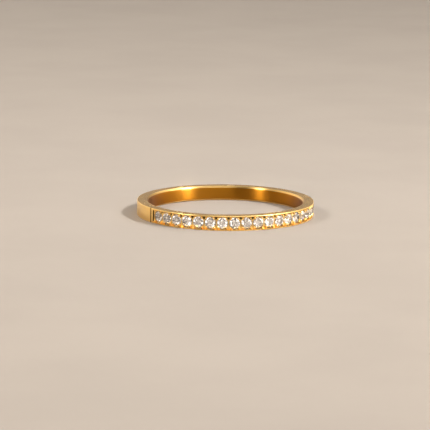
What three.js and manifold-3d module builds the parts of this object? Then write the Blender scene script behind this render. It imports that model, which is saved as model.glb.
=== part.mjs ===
// A half-eternity gemstone ring in yellow gold, lying on its side.
//
// The ring is one gold casting: a flat band with a comfort-eased bore, whose front half is cut
// back into a bright-cut channel between two thin rails. The channel holds a single row of round
// brilliants, each in its own drilled seat under four raised grains. A bar and a fine groove
// close the row at each end, and the back half of the band is plain.
//
// Millimetres, +Z up. The origin is on the surface that the ring lies on, under the middle of
// the bore. The row of stones faces -Y, its middle stone on the -Y axis.

import * as THREE from "three";
import { ConvexGeometry } from "three/addons/geometries/ConvexGeometry.js";
import { mergeVertices } from "three/addons/utils/BufferGeometryUtils.js";
import Module from "manifold-3d";

const wasm = await Module();
wasm.setup();

const DEGREE = Math.PI / 180;

// Band
const BORE_DIAMETER = 17.3; // finger size 54.5, US 7
const BAND_THICKNESS = 1.3; // from the bore to the outer face
const BAND_WIDTH = 1.65; // along the finger
const OUTER_EASE = 0.07; // chamfer of the two outer edges
const BORE_EASE = 0.16; // rounding of the two bore edges
const BORE_EASE_STEPS = 2;
const BAND_SIDES = 96;

// Stones
const STONE_COUNT = 23;
const STONE_DIAMETER = 1.2;
const STONE_PITCH = 7.9 * DEGREE;
const STONE_TOP_DEPTH = 0.02; // table below the outer face

// Proportions of a round brilliant, as shares of its diameter unless a line says otherwise
const MAIN_FACETS = 8;
const TABLE_SHARE = 0.57;
const CROWN_SHARE = 0.15;
const GIRDLE_SHARE = 0.03;
const PAVILION_SHARE = 0.43;
const STAR_LENGTH = 0.5; // of the way from the table's edge to the girdle
const LOWER_HALF_LENGTH = 0.77; // of the way from the girdle to the culet

// Channel, seats and grains
const RAIL_WIDTH = 0.09; // rail's land at the outer face
const CHANNEL_DEPTH = 0.22;
const CHANNEL_SLOPE_RUN = 0.1; // how far each bright-cut wall leans in on its way down
const CHANNEL_END_GAP = 0.9 * DEGREE; // from the last stone's edge to the end wall
const SECTOR_SEGMENTS = 6; // steps of the channel's sector, well outside the band
const SEAT_CLEARANCE = 0.03;
const GRAIN_RADIUS = 0.135;
const GRAIN_HEIGHT = 0.2; // above the channel floor
const GRAIN_BEARING = 49 * DEGREE; // round the stone, from the direction of the row
const GRAIN_OVERHANG = 0.07; // centre of a grain outside the girdle
const GRAIN_SIDES = 6;
const GRAIN_RINGS = 4;
const CUTTER_OVERRUN = 0.5; // how far a cutter starts outside the metal

// End of the row
const END_BAR_WIDTH = 1.7 * DEGREE;
const END_GROOVE_WIDTH = 0.24;
const END_GROOVE_DEPTH = 0.11;

// Sizes that follow
const BORE_RADIUS = BORE_DIAMETER / 2;
const OUTER_RADIUS = BORE_RADIUS + BAND_THICKNESS;
const MID_HEIGHT = BAND_WIDTH / 2;
const STONE_RADIUS = STONE_DIAMETER / 2;
const TABLE_RADIUS = TABLE_SHARE * STONE_RADIUS;
const CROWN_HEIGHT = CROWN_SHARE * STONE_DIAMETER;
const GIRDLE_THICKNESS = GIRDLE_SHARE * STONE_DIAMETER;
const PAVILION_DEPTH = PAVILION_SHARE * STONE_DIAMETER;
const GIRDLE_PLANE_RADIUS = OUTER_RADIUS - STONE_TOP_DEPTH - CROWN_HEIGHT;
const FLOOR_RADIUS = OUTER_RADIUS - CHANNEL_DEPTH;
const LAST_STONE_ANGLE = ((STONE_COUNT - 1) / 2) * STONE_PITCH;
const STONE_HALF_ANGLE = STONE_RADIUS / GIRDLE_PLANE_RADIUS;
const CHANNEL_HALF_ANGLE = LAST_STONE_ANGLE + STONE_HALF_ANGLE + CHANNEL_END_GAP;
const GROOVE_ANGLE = CHANNEL_HALF_ANGLE + END_BAR_WIDTH + END_GROOVE_WIDTH / 2 / OUTER_RADIUS;

const gold = new THREE.MeshStandardMaterial({ color: 0xd9a441, metalness: 1, roughness: 0.16 });
const crystal = new THREE.MeshStandardMaterial({ color: 0xf4eeea, metalness: 0, roughness: 0.02 });

// A closed geometry as a solid that can be joined and cut.
function solidOf(geometry) {
  const bare = geometry.clone();
  bare.deleteAttribute("normal");
  bare.deleteAttribute("uv");
  const merged = mergeVertices(bare, 1e-5);
  return new wasm.Manifold(
    new wasm.Mesh({
      numProp: 3,
      vertProperties: new Float32Array(merged.attributes.position.array),
      triVerts: new Uint32Array(merged.index.array),
    }),
  );
}

// The solid as a flat-shaded geometry.
function geometryOf(solid) {
  const mesh = solid.getMesh();
  const geometry = new THREE.BufferGeometry()
    .setAttribute("position", new THREE.BufferAttribute(mesh.vertProperties, mesh.numProp))
    .setIndex(new THREE.BufferAttribute(mesh.triVerts, 1))
    .toNonIndexed();
  geometry.computeVertexNormals();
  return geometry;
}

// A profile of [radius, height] corners, turned round the Z axis.
function turned(corners, sides) {
  const profile = corners.map(([radius, height]) => new THREE.Vector2(radius, height));
  profile.push(profile[0].clone());
  return new THREE.LatheGeometry(profile, sides).rotateX(Math.PI / 2);
}

// Where a stone sits: its own +Z points out of the band, and its +Y along the finger.
function stonePlace(index) {
  const angle = index * STONE_PITCH - LAST_STONE_ANGLE;
  return new THREE.Matrix4()
    .makeRotationZ(angle)
    .multiply(new THREE.Matrix4().makeTranslation(0, -GIRDLE_PLANE_RADIUS, MID_HEIGHT))
    .multiply(new THREE.Matrix4().makeRotationX(Math.PI / 2));
}

// Points of one level of a stone, evenly spaced from a bearing.
function level(count, radius, height, firstBearing = 0) {
  return Array.from({ length: count }, (_, k) => {
    const bearing = firstBearing + (k * 2 * Math.PI) / count;
    return new THREE.Vector3(radius * Math.cos(bearing), radius * Math.sin(bearing), height);
  });
}

// A round brilliant with its girdle's upper edge at height 0: a table, 8 stars, 8 crown mains,
// 16 upper and 16 lower halves and 8 pavilion mains. The junctions lie where neighbouring
// mains meet, so each kite is flat.
function brilliant() {
  const halfMain = Math.PI / MAIN_FACETS;
  const tableFlat = TABLE_RADIUS * Math.cos(halfMain);
  const starRadius = tableFlat + STAR_LENGTH * (STONE_RADIUS - tableFlat);
  const crownSlope = CROWN_HEIGHT / (STONE_RADIUS - TABLE_RADIUS);
  const starHeight = (STONE_RADIUS - starRadius * Math.cos(halfMain)) * crownSlope;
  const lowerRadius = (1 - LOWER_HALF_LENGTH) * STONE_RADIUS;
  const pavilionSlope = PAVILION_DEPTH / STONE_RADIUS;
  const lowerDepth = (STONE_RADIUS - lowerRadius * Math.cos(halfMain)) * pavilionSlope;
  return new ConvexGeometry([
    ...level(MAIN_FACETS, TABLE_RADIUS, CROWN_HEIGHT),
    ...level(MAIN_FACETS, starRadius, starHeight, halfMain),
    ...level(2 * MAIN_FACETS, STONE_RADIUS, 0),
    ...level(2 * MAIN_FACETS, STONE_RADIUS, -GIRDLE_THICKNESS),
    ...level(MAIN_FACETS, lowerRadius, -GIRDLE_THICKNESS - lowerDepth, halfMain),
    new THREE.Vector3(0, 0, -GIRDLE_THICKNESS - PAVILION_DEPTH),
  ]);
}

// The plain band, before the channel is cut: chamfered outside, rounded at the bore.
function plainBand() {
  const easeArc = (side) =>
    Array.from({ length: BORE_EASE_STEPS + 1 }, (_, k) => {
      const turn = (k / BORE_EASE_STEPS) * (Math.PI / 2);
      return [
        BORE_RADIUS + BORE_EASE * (1 - Math.cos(turn)),
        MID_HEIGHT + side * (MID_HEIGHT - BORE_EASE + BORE_EASE * Math.sin(turn)),
      ];
    });
  return turned(
    [
      ...easeArc(-1),
      [OUTER_RADIUS - OUTER_EASE, 0],
      [OUTER_RADIUS, OUTER_EASE],
      [OUTER_RADIUS, BAND_WIDTH - OUTER_EASE],
      [OUTER_RADIUS - OUTER_EASE, BAND_WIDTH],
      ...easeArc(1).reverse(),
    ],
    BAND_SIDES,
  );
}

// The channel between the rails, as far round as the row of stones.
function channel() {
  const topHalf = MID_HEIGHT - RAIL_WIDTH;
  const floorHalf = topHalf - CHANNEL_SLOPE_RUN;
  const whole = turned(
    [
      [FLOOR_RADIUS, MID_HEIGHT - floorHalf],
      [OUTER_RADIUS, MID_HEIGHT - topHalf],
      [OUTER_RADIUS + CUTTER_OVERRUN, MID_HEIGHT - topHalf],
      [OUTER_RADIUS + CUTTER_OVERRUN, MID_HEIGHT + topHalf],
      [OUTER_RADIUS, MID_HEIGHT + topHalf],
      [FLOOR_RADIUS, MID_HEIGHT + floorHalf],
    ],
    BAND_SIDES,
  );
  const reach = 2 * OUTER_RADIUS;
  const sector = new THREE.Shape();
  sector.absarc(0, 0, reach, -Math.PI / 2 - CHANNEL_HALF_ANGLE, -Math.PI / 2 + CHANNEL_HALF_ANGLE);
  sector.lineTo(0, 0);
  const wedge = new THREE.ExtrudeGeometry(sector, {
    depth: BAND_WIDTH,
    bevelEnabled: false,
    curveSegments: SECTOR_SEGMENTS,
  });
  return solidOf(whole).intersect(solidOf(wedge));
}

// The fine V groove that parts the end of the row from the plain shank.
function endGroove(side) {
  const arm = END_GROOVE_WIDTH / 2;
  const cut = new THREE.Shape([
    new THREE.Vector2(-arm, 0),
    new THREE.Vector2(0, -END_GROOVE_DEPTH),
    new THREE.Vector2(arm, 0),
    new THREE.Vector2(arm, END_GROOVE_DEPTH),
    new THREE.Vector2(-arm, END_GROOVE_DEPTH),
  ]);
  const length = BAND_WIDTH + 2 * CUTTER_OVERRUN;
  return new THREE.ExtrudeGeometry(cut, { depth: length, bevelEnabled: false })
    .translate(0, OUTER_RADIUS, -CUTTER_OVERRUN)
    .rotateZ(Math.PI + side * GROOVE_ANGLE);
}

// The four grains round one stone, in the stone's own frame.
function grains() {
  const floorHeight = FLOOR_RADIUS - GIRDLE_PLANE_RADIUS;
  const alongRow = (STONE_RADIUS + GRAIN_OVERHANG) * Math.cos(GRAIN_BEARING);
  const alongFinger = (STONE_RADIUS + GRAIN_OVERHANG) * Math.sin(GRAIN_BEARING);
  const dome = new THREE.SphereGeometry(1, GRAIN_SIDES, GRAIN_RINGS)
    .rotateX(Math.PI / 2)
    .scale(GRAIN_RADIUS, GRAIN_RADIUS, GRAIN_HEIGHT);
  return [-1, 1].flatMap((before) =>
    [-1, 1].map((below) =>
      dome.clone().translate(before * alongRow, below * alongFinger, floorHeight),
    ),
  );
}

// What is drilled for one stone: its own outline with the clearance all round, its crown
// rounded off to a cone that clears the facets.
function seat() {
  const radius = STONE_RADIUS + SEAT_CLEARANCE;
  const crownTop = CROWN_HEIGHT + SEAT_CLEARANCE;
  const crownRadius = TABLE_RADIUS + 2 * SEAT_CLEARANCE;
  return turned(
    [
      [0, -GIRDLE_THICKNESS - PAVILION_DEPTH - SEAT_CLEARANCE],
      [radius, -GIRDLE_THICKNESS - SEAT_CLEARANCE / 2],
      [radius, SEAT_CLEARANCE / 2],
      [crownRadius, crownTop],
      [0, crownTop],
    ],
    2 * MAIN_FACETS,
  );
}

function goldBand() {
  let metal = solidOf(plainBand()).subtract(channel());
  for (const side of [-1, 1]) metal = metal.subtract(solidOf(endGroove(side)));
  for (let i = 0; i < STONE_COUNT; i += 1) {
    const place = stonePlace(i);
    for (const grain of grains()) metal = metal.add(solidOf(grain.applyMatrix4(place)));
  }
  for (let i = 0; i < STONE_COUNT; i += 1) {
    metal = metal.subtract(solidOf(seat().applyMatrix4(stonePlace(i))));
  }
  return new THREE.Mesh(geometryOf(metal), gold);
}

const ring = new THREE.Group();
ring.name = "gemstone_ring";

const band = goldBand();
band.name = "band";
ring.add(band);

const row = new THREE.Group();
row.name = "stone_row";
const cut = brilliant();
for (let i = 0; i < STONE_COUNT; i += 1) {
  const stone = new THREE.Mesh(cut, crystal);
  stone.name = `stone_${String(i + 1).padStart(2, "0")}`;
  stone.applyMatrix4(stonePlace(i));
  row.add(stone);
}
ring.add(row);

export default ring;
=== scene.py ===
"""A half-eternity gemstone ring in yellow gold, lying on its side on a pale floor.

The band is one casting: a section of the ring is spun round the finger's axis, the front half is
cut back into a bright-cut channel, grains are raised in it and a seat is drilled for every stone.
The stones are round brilliants, cut facet by facet from one rough and then copied along the row.

Everything is in metres in the part's own frame: +Z is the finger's axis, the ring rests on Z = 0
and the middle stone of the row faces -Y.
"""

import math
import random
from collections import namedtuple
from contextlib import contextmanager

import bmesh
import bpy
from bpy.props import FloatProperty, FloatVectorProperty, IntProperty, PointerProperty
from mathutils import Matrix, Vector


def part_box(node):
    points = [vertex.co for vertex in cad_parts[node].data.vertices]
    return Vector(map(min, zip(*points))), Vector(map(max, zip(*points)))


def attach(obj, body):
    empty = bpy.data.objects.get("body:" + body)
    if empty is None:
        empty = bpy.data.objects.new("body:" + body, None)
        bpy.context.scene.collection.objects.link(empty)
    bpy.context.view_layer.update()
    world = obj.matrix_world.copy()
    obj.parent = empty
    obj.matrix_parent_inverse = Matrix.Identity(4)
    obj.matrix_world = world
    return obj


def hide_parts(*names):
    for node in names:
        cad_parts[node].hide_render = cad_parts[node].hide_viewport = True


bl_info = {
    "name": "Gemstone Ring",
    "version": (1, 0, 0),
    "blender": (4, 5, 0),
    "location": "View3D > Sidebar > Ring",
    "description": "Models a half-eternity ring with a row of round brilliants",
    "category": "Add Mesh",
}

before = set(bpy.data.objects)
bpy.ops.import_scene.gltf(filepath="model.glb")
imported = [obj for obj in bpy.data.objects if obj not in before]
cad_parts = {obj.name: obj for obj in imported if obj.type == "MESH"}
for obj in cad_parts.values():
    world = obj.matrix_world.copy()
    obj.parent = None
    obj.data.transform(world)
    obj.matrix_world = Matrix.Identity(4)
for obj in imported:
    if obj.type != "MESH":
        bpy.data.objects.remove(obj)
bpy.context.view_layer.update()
BAND_LOW, BAND_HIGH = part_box("band")
STONE_NODES = sorted(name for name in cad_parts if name.startswith("stone_"))
MIDDLE_LOW, MIDDLE_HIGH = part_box(STONE_NODES[len(STONE_NODES) // 2])

MM = 0.001
WELD = 1e-6  # vertices closer than this are one
FINE = 1e-9  # how closely a facet's plane is cut

# How finely the tools and the roughs are faceted
OUTER_EASE_STEPS, BORE_EASE_STEPS = 4, 7
BOW_CUTS = 9  # across the bore's wall
BUR_SIDES, SEAT_SIDES, ROUGH_SIDES = 20, 48, 64
GRAIN_SEGMENTS, GRAIN_RINGS = 24, 16
SMOOTH_ANGLE = math.radians(32)  # flatter than this between faces looks round

# The handwork in the row, mostly as shares of another size
BUR_TIP = 0.55  # of a pit's radius
SEAT_TIP = 0.06  # of a stone's radius
NICK_ALONG, NICK_ACROSS = 0.6, -1.03  # of a stone's radius, from its centre to its nick
GRAIN_STRAY = 0.008 * MM  # how far a grain strays from its place
GRAIN_WIDTHS, GRAIN_HEIGHTS = (0.94, 1.05), (0.93, 1.0)  # least and most, of the full size

MARKS_RELIEF = (0.04, 0.003 * MM)  # strength and depth of the polishing marks
DIAMOND_IOR = 2.417

IMAGE_SIDE = 430  # pixels, of a square picture
SENSOR = 36.0  # camera's sensor width in its own millimetres
FLOOR_SIDE = 3.0

# Area lights: degrees from the camera's azimuth and above the floor, metres and watts
KEY_DISTANCE, KEY_SIDE, KEY_COLOUR = 0.8, 0.1, (1.0, 0.94, 0.87)
LIGHT_DISTANCE = 0.9
Light = namedtuple("Light", "name azimuth elevation width height power colour")
LIGHTS = (
    Light("Right", 80, 40, 0.7, 0.3, 4.0, (1.0, 0.94, 0.85)),
    Light("Front", 14, 40, 0.7, 0.3, 2.8, (1.0, 0.96, 0.92)),
    Light("Left", -60, 36, 0.13, 0.18, 5.4, (1.0, 0.92, 0.8)),
    Light("Back", 163, 43, 0.5, 0.4, 1.3, (1.0, 0.95, 0.86)),
)

# The room's light: its colours near the floor and overhead, and the heights between which it
# turns from one to the other. Round soft patches lie over it. Each is centred at degrees from the
# camera's azimuth, raised by its height over a run of 1; rim and core are the cosines of the
# angles from there at which it starts and is full.
SKY_LOW, SKY_HIGH = (0.54, 0.48, 0.43), (0.2, 0.185, 0.175)
SKY_TURN = (0.15, 0.7)
Patch = namedtuple("Patch", "azimuth height rim core strength colour")
PATCHES = (
    Patch(-50, 0.0, 0.3, 0.9, 0.6, (0.1, 0.09, 0.085)),
    Patch(180, 0.15, 0.75, 1.0, 0.8, (0.28, 0.245, 0.22)),
    Patch(-125, 0.2, 0.6, 1.0, 0.8, (1.7, 1.5, 1.25)),
    Patch(76, 0.12, 0.6, 1.0, 0.9, (1.05, 0.93, 0.76)),
)
STRIP = Patch(100, 0.0, 0.62, 0.95, 1.0, (4.0, 3.45, 2.5))
STRIP_FADE = (0.07, 0.2)  # heights between which the strip ends


class BandSizes(bpy.types.PropertyGroup):
    """Sizes of the gold band."""

    outer_diameter: FloatProperty(
        name="Outer diameter", description="Across the outside of the band",
        default=BAND_HIGH.x - BAND_LOW.x, unit="LENGTH",
    )
    bore_diameter: FloatProperty(
        name="Bore", description="Inside diameter, which sets the finger size",
        default=17.3 * MM, unit="LENGTH",
    )
    width: FloatProperty(
        name="Width", description="Along the finger",
        default=BAND_HIGH.z - BAND_LOW.z, unit="LENGTH",
    )
    outer_ease: FloatProperty(
        name="Outer ease", description="Rounding of the two outer edges",
        default=0.07 * MM, unit="LENGTH",
    )
    bore_ease: FloatProperty(
        name="Bore ease", description="Rounding of the two edges of the bore",
        default=0.28 * MM, unit="LENGTH",
    )
    bore_bow: FloatProperty(
        name="Bore bow", description="How far the middle of the bore stands in from its edges",
        default=0.04 * MM, unit="LENGTH",
    )
    rail_width: FloatProperty(
        name="Rail", description="From the band's side to the top of the bright-cut slope",
        default=0.13 * MM, unit="LENGTH",
    )
    channel_depth: FloatProperty(
        name="Channel depth", description="From the outer face to the floor between the rails",
        default=0.22 * MM, unit="LENGTH",
    )
    slope_run: FloatProperty(
        name="Slope run", description="How far each bright-cut wall leans in on its way down",
        default=0.09 * MM, unit="LENGTH",
    )
    end_gap: FloatProperty(
        name="End gap", description="From the last stone's edge to the end of the channel",
        default=math.radians(0.9), subtype="ANGLE",
    )
    end_bar: FloatProperty(
        name="End bar", description="Plain bar between the channel and the end groove",
        default=math.radians(1.7), subtype="ANGLE",
    )
    groove_width: FloatProperty(
        name="Groove width", description="Fine groove that parts the row from the shank",
        default=0.24 * MM, unit="LENGTH",
    )
    groove_depth: FloatProperty(
        name="Groove depth", description="Depth of the end groove",
        default=0.16 * MM, unit="LENGTH",
    )
    slot_width: FloatProperty(
        name="End slot", description="Slot cut between the rails at each end of the channel",
        default=0.08 * MM, unit="LENGTH",
    )
    slot_depth: FloatProperty(
        name="Slot depth", description="Depth of an end slot below the floor of the channel",
        default=0.22 * MM, unit="LENGTH",
    )
    grain_radius: FloatProperty(
        name="Grain", description="Radius of a raised grain",
        default=0.135 * MM, unit="LENGTH",
    )
    grain_height: FloatProperty(
        name="Grain height", description="Above the floor of the channel",
        default=0.2 * MM, unit="LENGTH",
    )
    grain_bearing: FloatProperty(
        name="Grain bearing", description="Round the stone, from the direction of the row",
        default=math.radians(49), subtype="ANGLE",
    )
    grain_overhang: FloatProperty(
        name="Grain overhang", description="Centre of a grain outside the girdle",
        default=0.07 * MM, unit="LENGTH",
    )
    pit_radius: FloatProperty(
        name="Pit", description="Radius of the pits between stones, under the upper rail",
        default=0.15 * MM, unit="LENGTH",
    )
    pit_offset: FloatProperty(
        name="Pit offset", description="From the middle of the row to a pit's centre",
        default=0.55 * MM, unit="LENGTH",
    )
    pit_depth: FloatProperty(
        name="Pit depth", description="Below the floor of the channel",
        default=0.34 * MM, unit="LENGTH",
    )
    nick_length: FloatProperty(
        name="Nick", description="Length of the nick beside each stone, at the lower rail",
        default=0.36 * MM, unit="LENGTH",
    )
    nick_width: FloatProperty(
        name="Nick width", description="Width of the nick", default=0.08 * MM, unit="LENGTH",
    )
    nick_depth: FloatProperty(
        name="Nick depth", description="Below the outer face", default=0.3 * MM, unit="LENGTH",
    )
    nick_lean: FloatProperty(
        name="Nick lean", description="Slant of the nick towards the rail",
        default=math.radians(-39), subtype="ANGLE",
    )
    steps: IntProperty(
        name="Steps", description="Facets round the band", default=720, min=96,
    )


class StoneSizes(bpy.types.PropertyGroup):
    """Sizes of the round brilliants and of their row."""

    count: IntProperty(
        name="Stones", description="Stones in the row", default=len(STONE_NODES), min=1,
    )
    pitch: FloatProperty(
        name="Pitch", description="From one stone to the next, round the finger",
        default=math.radians(7.9), subtype="ANGLE",
    )
    diameter: FloatProperty(
        name="Diameter", description="Across the girdle",
        default=MIDDLE_HIGH.z - MIDDLE_LOW.z, unit="LENGTH",
    )
    top_depth: FloatProperty(
        name="Table depth", description="Table below the outer face of the band",
        default=0.02 * MM, unit="LENGTH",
    )
    table_share: FloatProperty(
        name="Table", description="Table across its corners, as a share of the diameter",
        default=0.57,
    )
    crown_share: FloatProperty(
        name="Crown", description="Crown height, as a share of the diameter", default=0.15,
    )
    girdle_share: FloatProperty(
        name="Girdle", description="Girdle thickness, as a share of the diameter",
        default=0.03,
    )
    pavilion_share: FloatProperty(
        name="Pavilion", description="Pavilion depth, as a share of the diameter",
        default=0.43,
    )
    star_length: FloatProperty(
        name="Star length", description="How far a star facet reaches from the table to the girdle",
        default=0.5,
    )
    lower_half: FloatProperty(
        name="Lower halves", description="How far a lower half reaches from girdle to culet",
        default=0.77,
    )
    clearance: FloatProperty(
        name="Clearance", description="Between a stone and its seat",
        default=0.03 * MM, unit="LENGTH",
    )


class Finishes(bpy.types.PropertyGroup):
    """Colours and polish. The colours of the bore and of the cuts are painted shade."""

    gold: FloatVectorProperty(
        name="Gold", description="Colour of the polished gold", subtype="COLOR",
        size=3, min=0, max=1, default=(0.98, 0.655, 0.235),
    )
    # Painted shade: the bore's wall is coloured deep amber instead of the gold's own colour,
    # standing in for dark reflections in the ring's hollow
    bore_painted_shade: FloatVectorProperty(
        name="Painted shade in the bore", description="Colour of the bore, deepened by its own reflections",
        subtype="COLOR", size=3, min=0, max=1, default=(0.38, 0.155, 0.012),
    )
    # Painted shade: the seats, pits, grooves, slots and nicks are coloured darker than the polished
    # gold, as shade in the recesses
    gold_cuts_painted_shade: FloatVectorProperty(
        name="Gold in the cuts with painted shade", description="Colour of the seats, pits and grooves",
        subtype="COLOR", size=3, min=0, max=1, default=(0.42, 0.24, 0.07),
    )
    polish: FloatProperty(
        name="Polish", description="Roughness of the outer face", default=0.3, min=0, max=1,
    )
    side_polish: FloatProperty(
        name="Side polish", description="Roughness of the flat sides", default=0.22, min=0, max=1,
    )
    bore_polish: FloatProperty(
        name="Bore polish", description="Roughness of the bore", default=0.36, min=0, max=1,
    )
    stone: FloatVectorProperty(
        name="Stone", description="Colour of the clear stones", subtype="COLOR",
        size=3, min=0, max=1, default=(0.985, 0.965, 0.945),
    )
    stone_warm: FloatVectorProperty(
        name="Stone, warm", description="Colour of the warmest stones", subtype="COLOR",
        size=3, min=0, max=1, default=(0.98, 0.935, 0.895),
    )
    floor: FloatVectorProperty(
        name="Floor", description="Colour of the floor", subtype="COLOR",
        size=3, min=0, max=1, default=(0.33, 0.297, 0.27),
    )


class Studio(bpy.types.PropertyGroup):
    """Camera and key light. Azimuths run anticlockwise, seen from above, the camera's from -Y."""

    azimuth: FloatProperty(
        name="Azimuth", description="Direction of the camera from the ring",
        default=math.radians(-37.7), subtype="ANGLE",
    )
    elevation: FloatProperty(
        name="Elevation", description="Of the camera above the floor",
        default=math.radians(10.4), subtype="ANGLE",
    )
    roll: FloatProperty(
        name="Roll", description="Turn of the camera about its own axis",
        default=math.radians(0.75), subtype="ANGLE",
    )
    distance: FloatProperty(
        name="Distance", description="From the camera to the ring's upper rim",
        default=0.3, unit="LENGTH",
    )
    view_width: FloatProperty(
        name="View width", description="Width of what the picture shows at that distance",
        default=48.44 * MM, unit="LENGTH",
    )
    rim_x: FloatProperty(
        name="Rim X", description="Pixel column of the middle of the upper rim", default=225.5,
    )
    rim_y: FloatProperty(
        name="Rim Y", description="Pixel row of the middle of the upper rim", default=199.7,
    )
    key_power: FloatProperty(
        name="Key light", description="Power of the key light in watts", default=0.24,
    )
    key_spread: FloatProperty(
        name="Key spread", description="Angle of the key light's beam",
        default=math.radians(34), subtype="ANGLE",
    )
    key_azimuth: FloatProperty(
        name="Key azimuth", description="Direction of the key light, from the camera's",
        default=math.radians(70), subtype="ANGLE",
    )
    key_elevation: FloatProperty(
        name="Key elevation", description="Of the key light above the floor",
        default=math.radians(41), subtype="ANGLE",
    )


SETTINGS = {
    "ring_band": BandSizes,
    "ring_stones": StoneSizes,
    "ring_finishes": Finishes,
    "ring_studio": Studio,
}


def deselect_everything():
    """Back to object mode with nothing selected, so that an operator acts on its own piece."""
    if bpy.context.mode != "OBJECT":
        bpy.ops.object.mode_set(mode="OBJECT")
    bpy.ops.object.select_all(action="DESELECT")


def activate(piece):
    deselect_everything()
    piece.select_set(True)
    bpy.context.view_layer.objects.active = piece


@contextmanager
def editing(piece):
    """Edit mode on one piece, with all of it selected."""
    activate(piece)
    bpy.ops.object.mode_set(mode="EDIT")
    bpy.ops.mesh.select_mode(type="VERT")
    bpy.ops.mesh.select_all(action="SELECT")
    yield
    bpy.ops.object.mode_set(mode="OBJECT")


def choose(kind, test):
    """Selects the vertices or faces of the piece in edit mode whose centre passes the test."""
    bpy.ops.mesh.select_mode(type=kind)
    bpy.ops.mesh.select_all(action="DESELECT")
    mesh = bmesh.from_edit_mesh(bpy.context.edit_object.data)
    if kind == "VERT":
        for vertex in mesh.verts:
            vertex.select_set(test(vertex.co))
        mesh.select_flush_mode()
    else:
        for face in mesh.faces:
            face.select_set(test(face.calc_center_median()))
    bmesh.update_edit_mesh(bpy.context.edit_object.data)


def name_new(name):
    """The primitive that was just added, named and with its place taken into its mesh."""
    piece = bpy.context.object
    piece.name = piece.data.name = name
    bpy.ops.object.transform_apply(location=True, rotation=True, scale=True)
    return piece


def join_copies(tool, places):
    """Turns one small tool into a single mesh of copies, one at each place."""
    copies = []
    for place in places:
        copy = tool.copy()
        copy.data = tool.data.copy()
        copy.matrix_world = place
        bpy.context.collection.objects.link(copy)
        copies.append(copy)
    bpy.data.objects.remove(tool)
    deselect_everything()
    for copy in copies:
        copy.select_set(True)
    bpy.context.view_layer.objects.active = copies[0]
    bpy.ops.object.join()
    bpy.ops.object.transform_apply(location=True, rotation=True, scale=True)
    return copies[0]


def combine(piece, tool, operation, finish):
    """Joins or cuts the piece with a tool that leaves a finish, and takes the tool away."""
    tool.data.materials.clear()
    tool.data.materials.append(finish)
    activate(piece)
    boolean = piece.modifiers.new(operation.title(), "BOOLEAN")
    boolean.solver = "MANIFOLD"
    boolean.material_mode = "TRANSFER"
    boolean.operation = operation
    boolean.object = tool
    bpy.ops.object.modifier_apply(modifier=boolean.name)
    bpy.data.objects.remove(tool)


def polar(radius, angle, height=0.0):
    """A point at an angle from -Y, anticlockwise seen from above."""
    return Vector((radius * math.sin(angle), -radius * math.cos(angle), height))


def angle_of(point):
    return math.atan2(point.x, -point.y)


def facing_back(away):
    """The turn of a camera or a lamp that looks back along the direction it stands in."""
    return (-away).to_track_quat("-Z", "Y").to_matrix().to_4x4()


class RowLayout:
    """Where the stones sit in the band, from the sizes."""

    def __init__(self, band, stones):
        self.radius = band.outer_diameter / 2
        self.middle = band.width / 2
        self.stone_radius = stones.diameter / 2
        self.crown = stones.crown_share * stones.diameter
        self.girdle = stones.girdle_share * stones.diameter
        self.pavilion = stones.pavilion_share * stones.diameter
        self.girdle_radius = self.radius - stones.top_depth - self.crown
        self.floor_radius = self.radius - band.channel_depth
        last = (stones.count - 1) / 2 * stones.pitch
        self.angles = [i * stones.pitch - last for i in range(stones.count)]
        stone_half = self.stone_radius / self.girdle_radius
        self.channel_half = last + stone_half + band.end_gap
        groove_half = band.groove_width / 2 / self.radius
        self.groove_angle = self.channel_half + band.end_bar + groove_half

    def place(self, angle, along=0.0, across=0.0, radius=None):
        """A frame on the row: +Z out of the band, +Y along the finger, +X along the row."""
        radius = self.girdle_radius if radius is None else radius
        return (
            Matrix.Rotation(angle, 4, "Z")
            @ Matrix.Translation((along, -radius, self.middle + across))
            @ Matrix.Rotation(math.pi / 2, 4, "X")
        )


def turned_tool(name, levels, sides):
    """A tool about +Z: a disc at the lowest (radius, height), extruded and scaled upwards."""
    first_radius, first_height = levels[0]
    bpy.ops.mesh.primitive_circle_add(
        vertices=sides, radius=first_radius, fill_type="NGON", location=(0, 0, first_height)
    )
    tool = name_new(name)
    with editing(tool):
        for (radius, height), (last_radius, last_height) in zip(levels[1:], levels):
            bpy.ops.mesh.extrude_region_move(
                TRANSFORM_OT_translate={"value": (0, 0, height - last_height)}
            )
            share = radius / last_radius
            bpy.ops.transform.resize(value=(share, share, 1), center_override=(0, 0, height))
        bpy.ops.mesh.select_all(action="SELECT")
        bpy.ops.mesh.normals_make_consistent(inside=False)
    return tool


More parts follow.
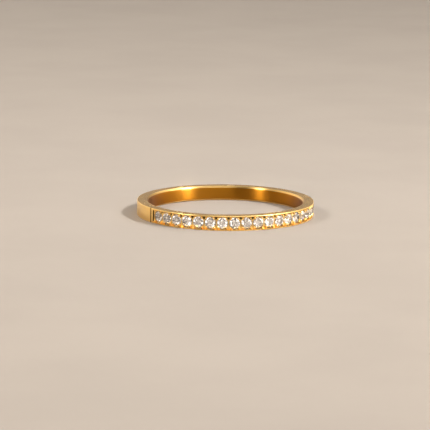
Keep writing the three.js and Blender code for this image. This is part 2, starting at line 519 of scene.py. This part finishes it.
def spun_section(band):
    """The plain band: an upright section with eased corners, spun round the finger's axis."""
    outer, bore = band.outer_diameter / 2, band.bore_diameter / 2 + band.bore_bow
    bpy.ops.mesh.primitive_plane_add(
        size=1, location=((outer + bore) / 2, 0, band.width / 2), rotation=(math.pi / 2, 0, 0)
    )
    bpy.context.object.scale = (outer - bore, band.width, 1)
    section = name_new("gold_band")
    middle = (outer + bore) / 2
    with editing(section):
        choose("VERT", lambda place: place.x > middle)
        bpy.ops.mesh.bevel(
            offset=band.outer_ease, segments=OUTER_EASE_STEPS, affect="VERTICES"
        )
        choose("VERT", lambda place: place.x < middle)
        bpy.ops.mesh.bevel(offset=band.bore_ease, segments=BORE_EASE_STEPS, affect="VERTICES")
        choose("VERT", lambda place: place.x < bore + WELD)
        bpy.ops.mesh.subdivide(number_cuts=BOW_CUTS)
        choose(
            "VERT",
            lambda place: place.x < bore + WELD and abs(place.z - band.width / 2) < WELD,
        )
        bpy.ops.transform.translate(
            value=(-band.bore_bow, 0, 0), use_proportional_edit=True,
            proportional_edit_falloff="INVERSE_SQUARE", proportional_size=band.width / 2,
        )
        bpy.ops.mesh.select_all(action="SELECT")
        bpy.ops.mesh.delete(type="ONLY_FACE")
        bpy.ops.mesh.select_all(action="SELECT")
        bpy.ops.mesh.spin(
            steps=band.steps, angle=2 * math.pi, center=(0, 0, 0), axis=(0, 0, 1)
        )
        bpy.ops.mesh.select_all(action="SELECT")
        bpy.ops.mesh.remove_doubles(threshold=WELD)
        bpy.ops.mesh.normals_make_consistent(inside=False)
    return section


def finish_bore(piece, band):
    """Gives the bore and its eased edges the second material, which has painted shade on the wall.
    """
    edge = band.bore_diameter / 2 + band.bore_bow + band.bore_ease
    with editing(piece):
        choose("FACE", lambda place: place.xy.length < edge)
        piece.active_material_index = 1
        bpy.ops.object.material_slot_assign()


def cut_channel(piece, band, row):
    """Insets the outer face along the row into two rails, and again into slopes and a floor."""
    step = 2 * math.pi / band.steps
    land = band.rail_width - band.outer_ease
    skin = row.radius * math.cos(step) - WELD
    reach = row.channel_half + land / row.radius

    def on_row(place):
        return place.xy.length > skin and abs(angle_of(place)) < reach

    with editing(piece):
        choose("FACE", on_row)
        bpy.ops.mesh.inset(thickness=land, depth=0)
        bpy.ops.mesh.inset(thickness=band.slope_run, depth=-band.channel_depth)


def groove_tools(band, row):
    """Two V-shaped gravers across the band, at the ends of the row."""
    bpy.ops.mesh.primitive_cylinder_add(vertices=3, radius=1, depth=2 * band.width)
    graver = name_new("graver")
    with editing(graver):
        tip = max(vertex.co.y for vertex in graver.data.vertices)
        bpy.ops.transform.translate(value=(0, -tip, 0))
        side, height = math.sqrt(3), 1.5  # of the triangle in a circle of radius 1
        bpy.ops.transform.resize(
            value=(2 * band.groove_width / side, 2 * band.groove_depth / height, 1),
            center_override=(0, 0, 0),
        )
    deepest = Matrix.Translation((0, band.groove_depth - row.radius, band.width / 2))
    places = [Matrix.Rotation(end * row.groove_angle, 4, "Z") @ deepest for end in (-1, 1)]
    return join_copies(graver, places)


def slot_tools(band, row):
    """Cutters for the slots that end the channel, from rail to rail."""
    bpy.ops.mesh.primitive_cube_add(size=1)
    between_walls = band.width - 2 * (band.rail_width + band.slope_run)
    bpy.context.object.scale = (band.slot_width, between_walls, 2 * band.slot_depth)
    cutter = name_new("cutter")
    last = row.channel_half - band.slot_width / 2 / row.radius
    places = [row.place(end * last, radius=row.floor_radius) for end in (-1, 1)]
    return join_copies(cutter, places)


def pit_tools(band, row):
    """Tapered burs for the pits between neighbouring stones, under the upper rail."""
    radius, depth = band.pit_radius, band.pit_depth
    bur = turned_tool("bur", [(BUR_TIP * radius, -depth), (radius, 0), (radius, depth)], BUR_SIDES)
    places = [
        row.place((before + after) / 2, across=band.pit_offset, radius=row.floor_radius)
        for before, after in zip(row.angles, row.angles[1:])
    ]
    return join_copies(bur, places)


def nick_tools(band, row):
    """Gravers for the slanting nicks that free the lower grains from the rail."""
    bpy.ops.mesh.primitive_cube_add(size=1)
    bpy.context.object.scale = (band.nick_length, band.nick_width, band.nick_depth)
    graver = name_new("graver")
    lean = Matrix.Rotation(band.nick_lean, 4, "Z")
    along, across = NICK_ALONG * row.stone_radius, NICK_ACROSS * row.stone_radius
    radius = row.radius - band.nick_depth / 2
    places = [row.place(angle, along, across, radius) @ lean for angle in row.angles]
    return join_copies(graver, places)


def grain_tools(band, row):
    """Four grains round each stone, none quite alike."""
    bpy.ops.mesh.primitive_uv_sphere_add(
        segments=GRAIN_SEGMENTS, ring_count=GRAIN_RINGS, radius=1
    )
    grain = name_new("grain")
    reach = row.stone_radius + band.grain_overhang
    reach_along = reach * math.cos(band.grain_bearing)
    reach_across = reach * math.sin(band.grain_bearing)
    hand = random.Random(11)
    places = []
    for angle in row.angles:
        for before in (-1, 1):
            for below in (-1, 1):
                along = before * reach_along + hand.gauss(0, GRAIN_STRAY)
                across = below * reach_across + hand.gauss(0, GRAIN_STRAY)
                size = band.grain_radius * hand.uniform(*GRAIN_WIDTHS)
                height = band.grain_height * hand.uniform(*GRAIN_HEIGHTS)
                scale = Matrix.Diagonal((size, size, height, 1))
                places.append(row.place(angle, along, across, row.floor_radius) @ scale)
    return join_copies(grain, places)


def seat_tools(stones, row):
    """What is drilled for every stone: its own outline with the clearance all round."""
    gap = stones.clearance
    radius = row.stone_radius + gap
    top_radius = stones.table_share * row.stone_radius + 2 * gap
    seat = turned_tool(
        "seat",
        [
            (SEAT_TIP * row.stone_radius, -row.girdle - row.pavilion - gap),
            (radius, -row.girdle - gap / 2),
            (radius, gap / 2),
            (top_radius, row.crown + gap),
        ],
        SEAT_SIDES,
    )
    return join_copies(seat, [row.place(angle) for angle in row.angles])


def stone_points(stones, row):
    """Rings of meeting points of a brilliant's facets, with the girdle's upper edge at height 0."""

    def level(count, radius, height, first=0.0):
        bearings = [first + k * 2 * math.pi / count for k in range(count)]
        return [Vector((radius * math.cos(b), radius * math.sin(b), height)) for b in bearings]

    half_main = math.pi / 8
    radius, table_radius = row.stone_radius, stones.table_share * row.stone_radius
    table_flat = table_radius * math.cos(half_main)
    star_radius = table_flat + stones.star_length * (radius - table_flat)
    star_height = (radius - star_radius * math.cos(half_main)) * row.crown / (radius - table_radius)
    low_radius = (1 - stones.lower_half) * radius
    low_depth = (radius - low_radius * math.cos(half_main)) * row.pavilion / radius
    return {
        "table": level(8, table_radius, row.crown),
        "star": level(8, star_radius, star_height, half_main),
        "upper": level(16, radius, 0.0),
        "lower": level(16, radius, -row.girdle),
        "low": level(8, low_radius, -row.girdle - low_depth, half_main),
        "culet": Vector((0, 0, -row.girdle - row.pavilion)),
    }


def cut_brilliant(stones, row):
    """Grinds a round rough into a brilliant, one plane for every facet."""
    points = stone_points(stones, row)
    bpy.ops.mesh.primitive_cylinder_add(
        vertices=ROUGH_SIDES, radius=row.stone_radius, depth=2 * stones.diameter
    )
    stone = name_new("brilliant")

    def grind(a, b, c):
        normal = (b - a).cross(c - a).normalized()
        if normal.dot(a - Vector((0, 0, -row.girdle / 2))) < 0:
            normal.negate()
        bpy.ops.mesh.select_all(action="SELECT")
        bpy.ops.mesh.bisect(
            plane_co=a, plane_no=normal, use_fill=True, clear_outer=True, threshold=FINE
        )

    table, star, upper = points["table"], points["star"], points["upper"]
    lower, low, culet = points["lower"], points["low"], points["culet"]
    with editing(stone):
        grind(table[0], table[3], table[6])
        for k in range(8):
            grind(table[k], star[k - 1], star[k])
            grind(low[k - 1], low[k], culet)
        for k in range(8):
            first, second, third = 2 * k, 2 * k + 1, (2 * k + 2) % 16
            grind(star[k], upper[first], upper[second])
            grind(star[k], upper[second], upper[third])
            grind(low[k], lower[first], lower[second])
            grind(low[k], lower[second], lower[third])
            grind(table[k], table[(k + 1) % 8], star[k])
        bpy.ops.mesh.select_all(action="SELECT")
        bpy.ops.mesh.remove_doubles(threshold=WELD)
        bpy.ops.mesh.normals_make_consistent(inside=False)
    return stone


def socket(group, name, kind, way, default=None):
    made = group.interface.new_socket(name=name, in_out=way, socket_type=kind)
    if default is not None:
        made.default_value = default


class Net:
    """Adds nodes to a tree and links them in one call each."""

    def __init__(self, tree):
        self.tree = tree

    def add(self, kind, inputs=None, **settings):
        node = self.tree.nodes.new(kind)
        for key, value in settings.items():
            setattr(node, key, value)
        for key, value in (inputs or {}).items():
            if isinstance(value, bpy.types.NodeSocket):
                self.tree.links.new(value, node.inputs[key])
            else:
                node.inputs[key].default_value = value
        return node

    def math(self, operation, *values):
        node = self.add("ShaderNodeMath", dict(enumerate(values)), operation=operation)
        return node.outputs[0]

    def ramp(self, value, low, high, out_low=0.0, out_high=1.0):
        inputs = {
            "Value": value, "From Min": low, "From Max": high,
            "To Min": out_low, "To Max": out_high,
        }
        node = self.add("ShaderNodeMapRange", inputs, interpolation_type="SMOOTHSTEP")
        return node.outputs["Result"]

    def mix(self, factor, a, b):
        node = self.add("ShaderNodeMix", {0: factor, 6: a, 7: b}, data_type="RGBA")
        return node.outputs[2]

    def split(self, vector):
        return self.add("ShaderNodeSeparateXYZ", {0: vector}).outputs

    def from_axis(self, place):
        """How far a place, split into X, Y and Z, lies from the finger's axis."""
        squares = [self.math("POWER", place[axis], 2.0) for axis in ("X", "Y")]
        return self.math("SQRT", self.math("ADD", *squares))

    def noise(self, place, scale, detail):
        inputs = {"Vector": place, "Scale": scale, "Detail": detail}
        return self.add("ShaderNodeTexNoise", inputs).outputs[0]

    def bump(self, height, strength, distance):
        inputs = {"Height": height, "Strength": strength, "Distance": distance}
        return self.add("ShaderNodeBump", inputs).outputs[0]


def opaque(colour):
    return (*colour, 1)


def polish_group():
    """Fine marks left by polishing: hairlines round the finger, and soft blotches of wear."""
    group = bpy.data.node_groups.new("Polishing marks", "ShaderNodeTree")
    socket(group, "Vector", "NodeSocketVector", "INPUT")
    socket(group, "Hairlines", "NodeSocketFloat", "INPUT", 1.0)
    socket(group, "Height", "NodeSocketFloat", "OUTPUT")
    socket(group, "Wear", "NodeSocketFloat", "OUTPUT")
    net = Net(group)
    given = net.add("NodeGroupInput").outputs
    place = net.split(given["Vector"])
    angle = net.math("ARCTAN2", place["X"], place["Y"])
    slow_angle = net.math("MULTIPLY", angle, 0.0006)  # draws the noise out round the finger
    unrolled = {0: slow_angle, 1: place["Z"], 2: net.from_axis(place)}
    wrapped = net.add("ShaderNodeCombineXYZ", unrolled).outputs[0]
    lines = net.noise(wrapped, scale=16000.0, detail=2.0)
    hairlines = net.math("MULTIPLY", lines, given["Hairlines"])
    grit = net.math("MULTIPLY", net.noise(given["Vector"], scale=9000.0, detail=1.0), 0.25)
    wear = net.ramp(net.noise(given["Vector"], scale=520.0, detail=3.0), 0.35, 0.7)
    net.add("NodeGroupOutput", {"Height": net.math("ADD", hairlines, grit), "Wear": wear})
    return group


def new_material(name):
    """An empty material, the net that fills it, and its place in Object coordinates."""
    material = bpy.data.materials.new(name)
    material.use_nodes = True
    material.node_tree.nodes.clear()
    net = Net(material.node_tree)
    return material, net, net.add("ShaderNodeTexCoord").outputs["Object"]


def finish_material(net, **inputs):
    """Ends a material with one Principled shader; underscores in the names are spaces."""
    spaced = {key.replace("_", " "): value for key, value in inputs.items()}
    shader = net.add("ShaderNodeBsdfPrincipled", spaced)
    net.add("ShaderNodeOutputMaterial", {"Surface": shader.outputs[0]})


def add_marks(net, marks, place):
    """The polishing marks at this place: their Height and the Wear."""
    return net.add("ShaderNodeGroup", {"Vector": place}, node_tree=marks).outputs


def gold_material(finishes, marks):
    """Yellow gold: satin outside, smoother on the flat sides."""
    gold, net, place = new_material("Yellow gold")
    worn = add_marks(net, marks, place)
    facing = net.split(net.add("ShaderNodeNewGeometry").outputs["Normal"])
    flat = net.math("ABSOLUTE", facing["Z"])
    polish = net.ramp(flat, 0.8, 0.98, finishes.polish, finishes.side_polish)
    finish_material(
        net, Base_Color=opaque(finishes.gold), Metallic=1.0,
        Roughness=net.math("ADD", polish, net.math("MULTIPLY", worn["Wear"], 0.06)),
        Normal=net.bump(worn["Height"], *MARKS_RELIEF),
    )
    return gold


def bore_material(finishes, band, marks):
    """Gold polished round the bore, so that glints stretch across it. Painted shade darkens its
    wall to a deep amber, and the eased edges keep the gold's colour.
    """
    gold, net, place = new_material("Bore gold with painted shade")
    worn = add_marks(net, marks, place)
    edge = band.bore_diameter / 2 + band.bore_bow
    # Painted shade: this mask is 1 on the bore's wall and 0 on its eased edges
    wall = net.ramp(net.from_axis(net.split(place)), edge + 0.1 * band.bore_ease, edge)
    round_bore = net.add("ShaderNodeTangent", direction_type="RADIAL", axis="Z").outputs[0]
    finish_material(
        net, Base_Color=net.mix(wall, opaque(finishes.gold), opaque(finishes.bore_painted_shade)),
        Roughness=net.math("ADD", finishes.bore_polish, net.math("MULTIPLY", worn["Wear"], 0.05)),
        Normal=net.bump(worn["Height"], *MARKS_RELIEF), Metallic=1.0,
        Anisotropic=0.95, Anisotropic_Rotation=0.25, Tangent=round_bore,
    )
    return gold


def cut_material(finishes, marks):
    """Matt gold left by the burs and gravers, with polish residue in it, and darker than the
    polished gold as painted shade in the recesses.
    """
    cut_gold_shaded, net, place = new_material("Gold in the cuts with painted shade")
    worn = add_marks(net, marks, place)
    residue = net.noise(place, scale=5200.0, detail=3.0)
    # Polish residue darkens random patches further, while the cut colour itself is painted shade
    darker = [channel * 0.55 for channel in finishes.gold_cuts_painted_shade]
    clean = net.ramp(residue, 0.35, 0.65)
    finish_material(
        net, Base_Color=net.mix(clean, opaque(darker), opaque(finishes.gold_cuts_painted_shade)),
        Roughness=net.math("ADD", 0.38, net.math("MULTIPLY", worn["Wear"], 0.15)),
        Normal=net.bump(residue, strength=0.3, distance=0.01 * MM), Metallic=1.0,
    )
    return cut_gold_shaded


def stone_material(finishes):
    """Clear cut stone, from white to faintly warm, with the least trace of handling."""
    clear, net, place = new_material("Clear stone")
    warmth = net.ramp(net.noise(place, scale=700.0, detail=0.0), 0.4, 0.6)
    smudge = net.noise(place, scale=2600.0, detail=2.0)
    finish_material(
        net, Base_Color=net.mix(warmth, opaque(finishes.stone), opaque(finishes.stone_warm)),
        Roughness=net.ramp(smudge, 0.55, 0.8, out_low=0.0, out_high=0.03),
        IOR=DIAMOND_IOR, Transmission_Weight=1.0,
    )
    return clear


def floor_material(finishes):
    """Pale matt plaster, with a faint mottle."""
    plaster, net, place = new_material("Pale plaster")
    mottle = net.ramp(net.noise(place, scale=60.0, detail=5.0), 0.3, 0.7)
    shade = [channel * 0.95 for channel in finishes.floor]
    grain = net.noise(place, scale=1500.0, detail=4.0)
    finish_material(
        net, Base_Color=net.mix(mottle, opaque(shade), opaque(finishes.floor)),
        Roughness=0.75, Specular_IOR_Level=0.25,
        Normal=net.bump(grain, strength=0.1, distance=0.05 * MM),
    )
    return plaster


class RING_OT_band(bpy.types.Operator):
    """Model the gold band: shank, channel, rails, grains, seats and end grooves"""

    bl_idname = "ring.band"
    bl_label = "Gold Band"
    bl_options = {"REGISTER", "UNDO"}

    def execute(self, context):
        scene = context.scene
        band, stones, finishes = scene.ring_band, scene.ring_stones, scene.ring_finishes
        row = RowLayout(band, stones)
        deselect_everything()
        marks = polish_group()
        bright = gold_material(finishes, marks)
        # Material of the cuts: matt, with painted shade in its colour
        cut_gold_shaded = cut_material(finishes, marks)
        piece = spun_section(band)
        piece.data.materials.append(bright)
        piece.data.materials.append(bore_material(finishes, band, marks))
        finish_bore(piece, band)
        cut_channel(piece, band, row)
        for tools in (groove_tools, slot_tools, pit_tools, nick_tools):
            combine(piece, tools(band, row), "DIFFERENCE", cut_gold_shaded)
        combine(piece, grain_tools(band, row), "UNION", bright)
        combine(piece, seat_tools(stones, row), "DIFFERENCE", cut_gold_shaded)
        activate(piece)
        bpy.ops.object.shade_smooth_by_angle(angle=SMOOTH_ANGLE)
        weigh = piece.modifiers.new("Flat faces", "WEIGHTED_NORMAL")
        weigh.keep_sharp = True
        bpy.ops.object.modifier_apply(modifier=weigh.name)
        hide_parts("band")
        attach(piece, "root")
        return {"FINISHED"}


class RING_OT_stones(bpy.types.Operator):
    """Cut one round brilliant and set a copy of it in every seat"""

    bl_idname = "ring.stones"
    bl_label = "Stones"
    bl_options = {"REGISTER", "UNDO"}

    def execute(self, context):
        scene = context.scene
        row = RowLayout(scene.ring_band, scene.ring_stones)
        deselect_everything()
        pattern = cut_brilliant(scene.ring_stones, row)
        pattern.data.materials.append(stone_material(scene.ring_finishes))
        hand = random.Random(23)
        for node, angle in zip(STONE_NODES, row.angles):
            stone = pattern.copy()
            stone.data = pattern.data.copy()
            stone.name = stone.data.name = node.replace("stone", "brilliant")
            context.collection.objects.link(stone)
            turn = Matrix.Rotation(hand.uniform(0, math.pi / 4), 4, "Z")
            stone.matrix_world = row.place(angle) @ turn
            activate(stone)
            bpy.ops.object.transform_apply(location=True, rotation=True, scale=True)
            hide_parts(node)
            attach(stone, "root")
        bpy.data.objects.remove(pattern)
        return {"FINISHED"}


class RING_OT_stage(bpy.types.Operator):
    """Lay the floor and set up the lights, the world and the camera"""

    bl_idname = "ring.stage"
    bl_label = "Stage"
    bl_options = {"REGISTER", "UNDO"}

    def execute(self, context):
        scene = context.scene
        studio = scene.ring_studio
        deselect_everything()
        bpy.ops.mesh.primitive_plane_add(size=FLOOR_SIDE)
        floor = name_new("floor")
        floor.data.materials.append(floor_material(scene.ring_finishes))
        self.add_camera(context, studio)
        self.add_lights(context, studio)
        self.add_world(scene, studio)
        self.add_glow(scene)
        cycles = scene.cycles
        cycles.max_bounces = 32
        cycles.glossy_bounces = 24
        cycles.transmission_bounces = 24
        scene.view_settings.view_transform = "Standard"
        return {"FINISHED"}

    def add_camera(self, context, studio):
        """Looks at the ring from the given side, with its upper rim at the given pixel."""
        rim = Vector((0, 0, context.scene.ring_band.width))
        away = polar(math.cos(studio.elevation), studio.azimuth, math.sin(studio.elevation))
        data = bpy.data.cameras.new("Camera")
        data.sensor_width = SENSOR
        data.lens = SENSOR * studio.distance / studio.view_width
        data.clip_start, data.clip_end = 0.01, 10.0
        camera = bpy.data.objects.new("Camera", data)
        context.collection.objects.link(camera)
        turned = facing_back(away) @ Matrix.Rotation(studio.roll, 4, "Z")
        pixel = SENSOR / IMAGE_SIDE / data.lens
        half = IMAGE_SIDE / 2
        right, up = (studio.rim_x - half) * pixel, (half - studio.rim_y) * pixel
        toward_rim = Vector((right, up, -1)).normalized()
        aim = toward_rim.rotation_difference(Vector((0, 0, -1))).to_matrix().to_4x4()
        matrix = turned @ aim
        seen = matrix.to_3x3() @ toward_rim
        camera.matrix_world = Matrix.Translation(rim - seen * studio.distance) @ matrix
        context.scene.camera = camera

    def add_lights(self, context, studio):
        middle = Vector((0, 0, context.scene.ring_band.width / 2))

        def softbox(name, azimuth, elevation, distance, size, power, colour, spread=math.pi):
            data = bpy.data.lights.new(name, "AREA")
            data.shape = "RECTANGLE"
            data.size, data.size_y = size
            data.energy = power
            data.spread = spread
            data.color = colour
            lamp = bpy.data.objects.new(name, data)
            context.collection.objects.link(lamp)
            angle = studio.azimuth + azimuth
            away = polar(math.cos(elevation), angle, math.sin(elevation))
            lamp.matrix_world = Matrix.Translation(middle + away * distance) @ facing_back(away)

        softbox("Key", studio.key_azimuth, studio.key_elevation, KEY_DISTANCE,
                (KEY_SIDE, KEY_SIDE), studio.key_power, KEY_COLOUR, studio.key_spread)
        for light in LIGHTS:
            azimuth, elevation = math.radians(light.azimuth), math.radians(light.elevation)
            softbox(light.name, azimuth, elevation, LIGHT_DISTANCE,
                    (light.width, light.height), light.power, light.colour)

    def add_world(self, scene, studio):
        """Light that fades upwards, with dim and bright patches and a bright strip low down."""
        world = bpy.data.worlds.new("Studio")
        scene.world = world
        world.use_nodes = True
        tree = world.node_tree
        tree.nodes.clear()
        net = Net(tree)
        way = net.add("ShaderNodeTexCoord").outputs["Generated"]
        up = net.split(way)["Z"]

        def mask(patch):
            angle = studio.azimuth + math.radians(patch.azimuth)
            middle = polar(1.0, angle, patch.height).normalized()
            inputs = {0: way, 1: middle}
            toward = net.add("ShaderNodeVectorMath", inputs, operation="DOT_PRODUCT")
            return net.ramp(toward.outputs["Value"], patch.rim, patch.core, 0.0, patch.strength)

        sky = net.mix(net.ramp(up, *SKY_TURN), opaque(SKY_LOW), opaque(SKY_HIGH))
        for patch in PATCHES:
            sky = net.mix(mask(patch), sky, opaque(patch.colour))
        strip = net.math("MULTIPLY", mask(STRIP), net.ramp(up, *STRIP_FADE, 1.0, 0.0))
        sky = net.mix(strip, sky, opaque(STRIP.colour))
        back = net.add("ShaderNodeBackground", {"Color": sky, "Strength": 1.0})
        net.add("ShaderNodeOutputWorld", {"Surface": back.outputs[0]})

    def add_glow(self, scene):
        """The lens's soft glow round the brightest glints."""
        scene.use_nodes = True
        scene.node_tree.nodes.clear()
        net = Net(scene.node_tree)
        layers = net.add("CompositorNodeRLayers")
        glow = net.add(
            "CompositorNodeGlare",
            {"Image": layers.outputs["Image"], "Threshold": 1.6, "Strength": 1.0, "Size": 0.12},
            glare_type="BLOOM",
        )
        net.add("CompositorNodeComposite", {"Image": glow.outputs[0]})


class RING_PT_panel(bpy.types.Panel):
    """Sizes, finishes and the operators that build the ring"""

    bl_label = "Gemstone Ring"
    bl_idname = "RING_PT_panel"
    bl_space_type = "VIEW_3D"
    bl_region_type = "UI"
    bl_category = "Ring"

    def draw(self, context):
        layout = self.layout
        for operator in OPERATORS:
            layout.operator(operator.bl_idname)
        for name in SETTINGS:
            settings = getattr(context.scene, name)
            box = layout.box()
            for key in settings.bl_rna.properties.keys():
                if key not in ("rna_type", "name"):
                    box.prop(settings, key)


OPERATORS = (RING_OT_band, RING_OT_stones, RING_OT_stage)
CLASSES = (*SETTINGS.values(), *OPERATORS, RING_PT_panel)


def register():
    for cls in CLASSES:
        bpy.utils.register_class(cls)
    for name, settings in SETTINGS.items():
        setattr(bpy.types.Scene, name, PointerProperty(type=settings))


def unregister():
    for name in SETTINGS:
        delattr(bpy.types.Scene, name)
    for cls in reversed(CLASSES):
        bpy.utils.unregister_class(cls)


def main():
    register()
    bpy.ops.ring.band()
    bpy.ops.ring.stones()
    bpy.ops.ring.stage()


if __name__ == "__main__":
    main()
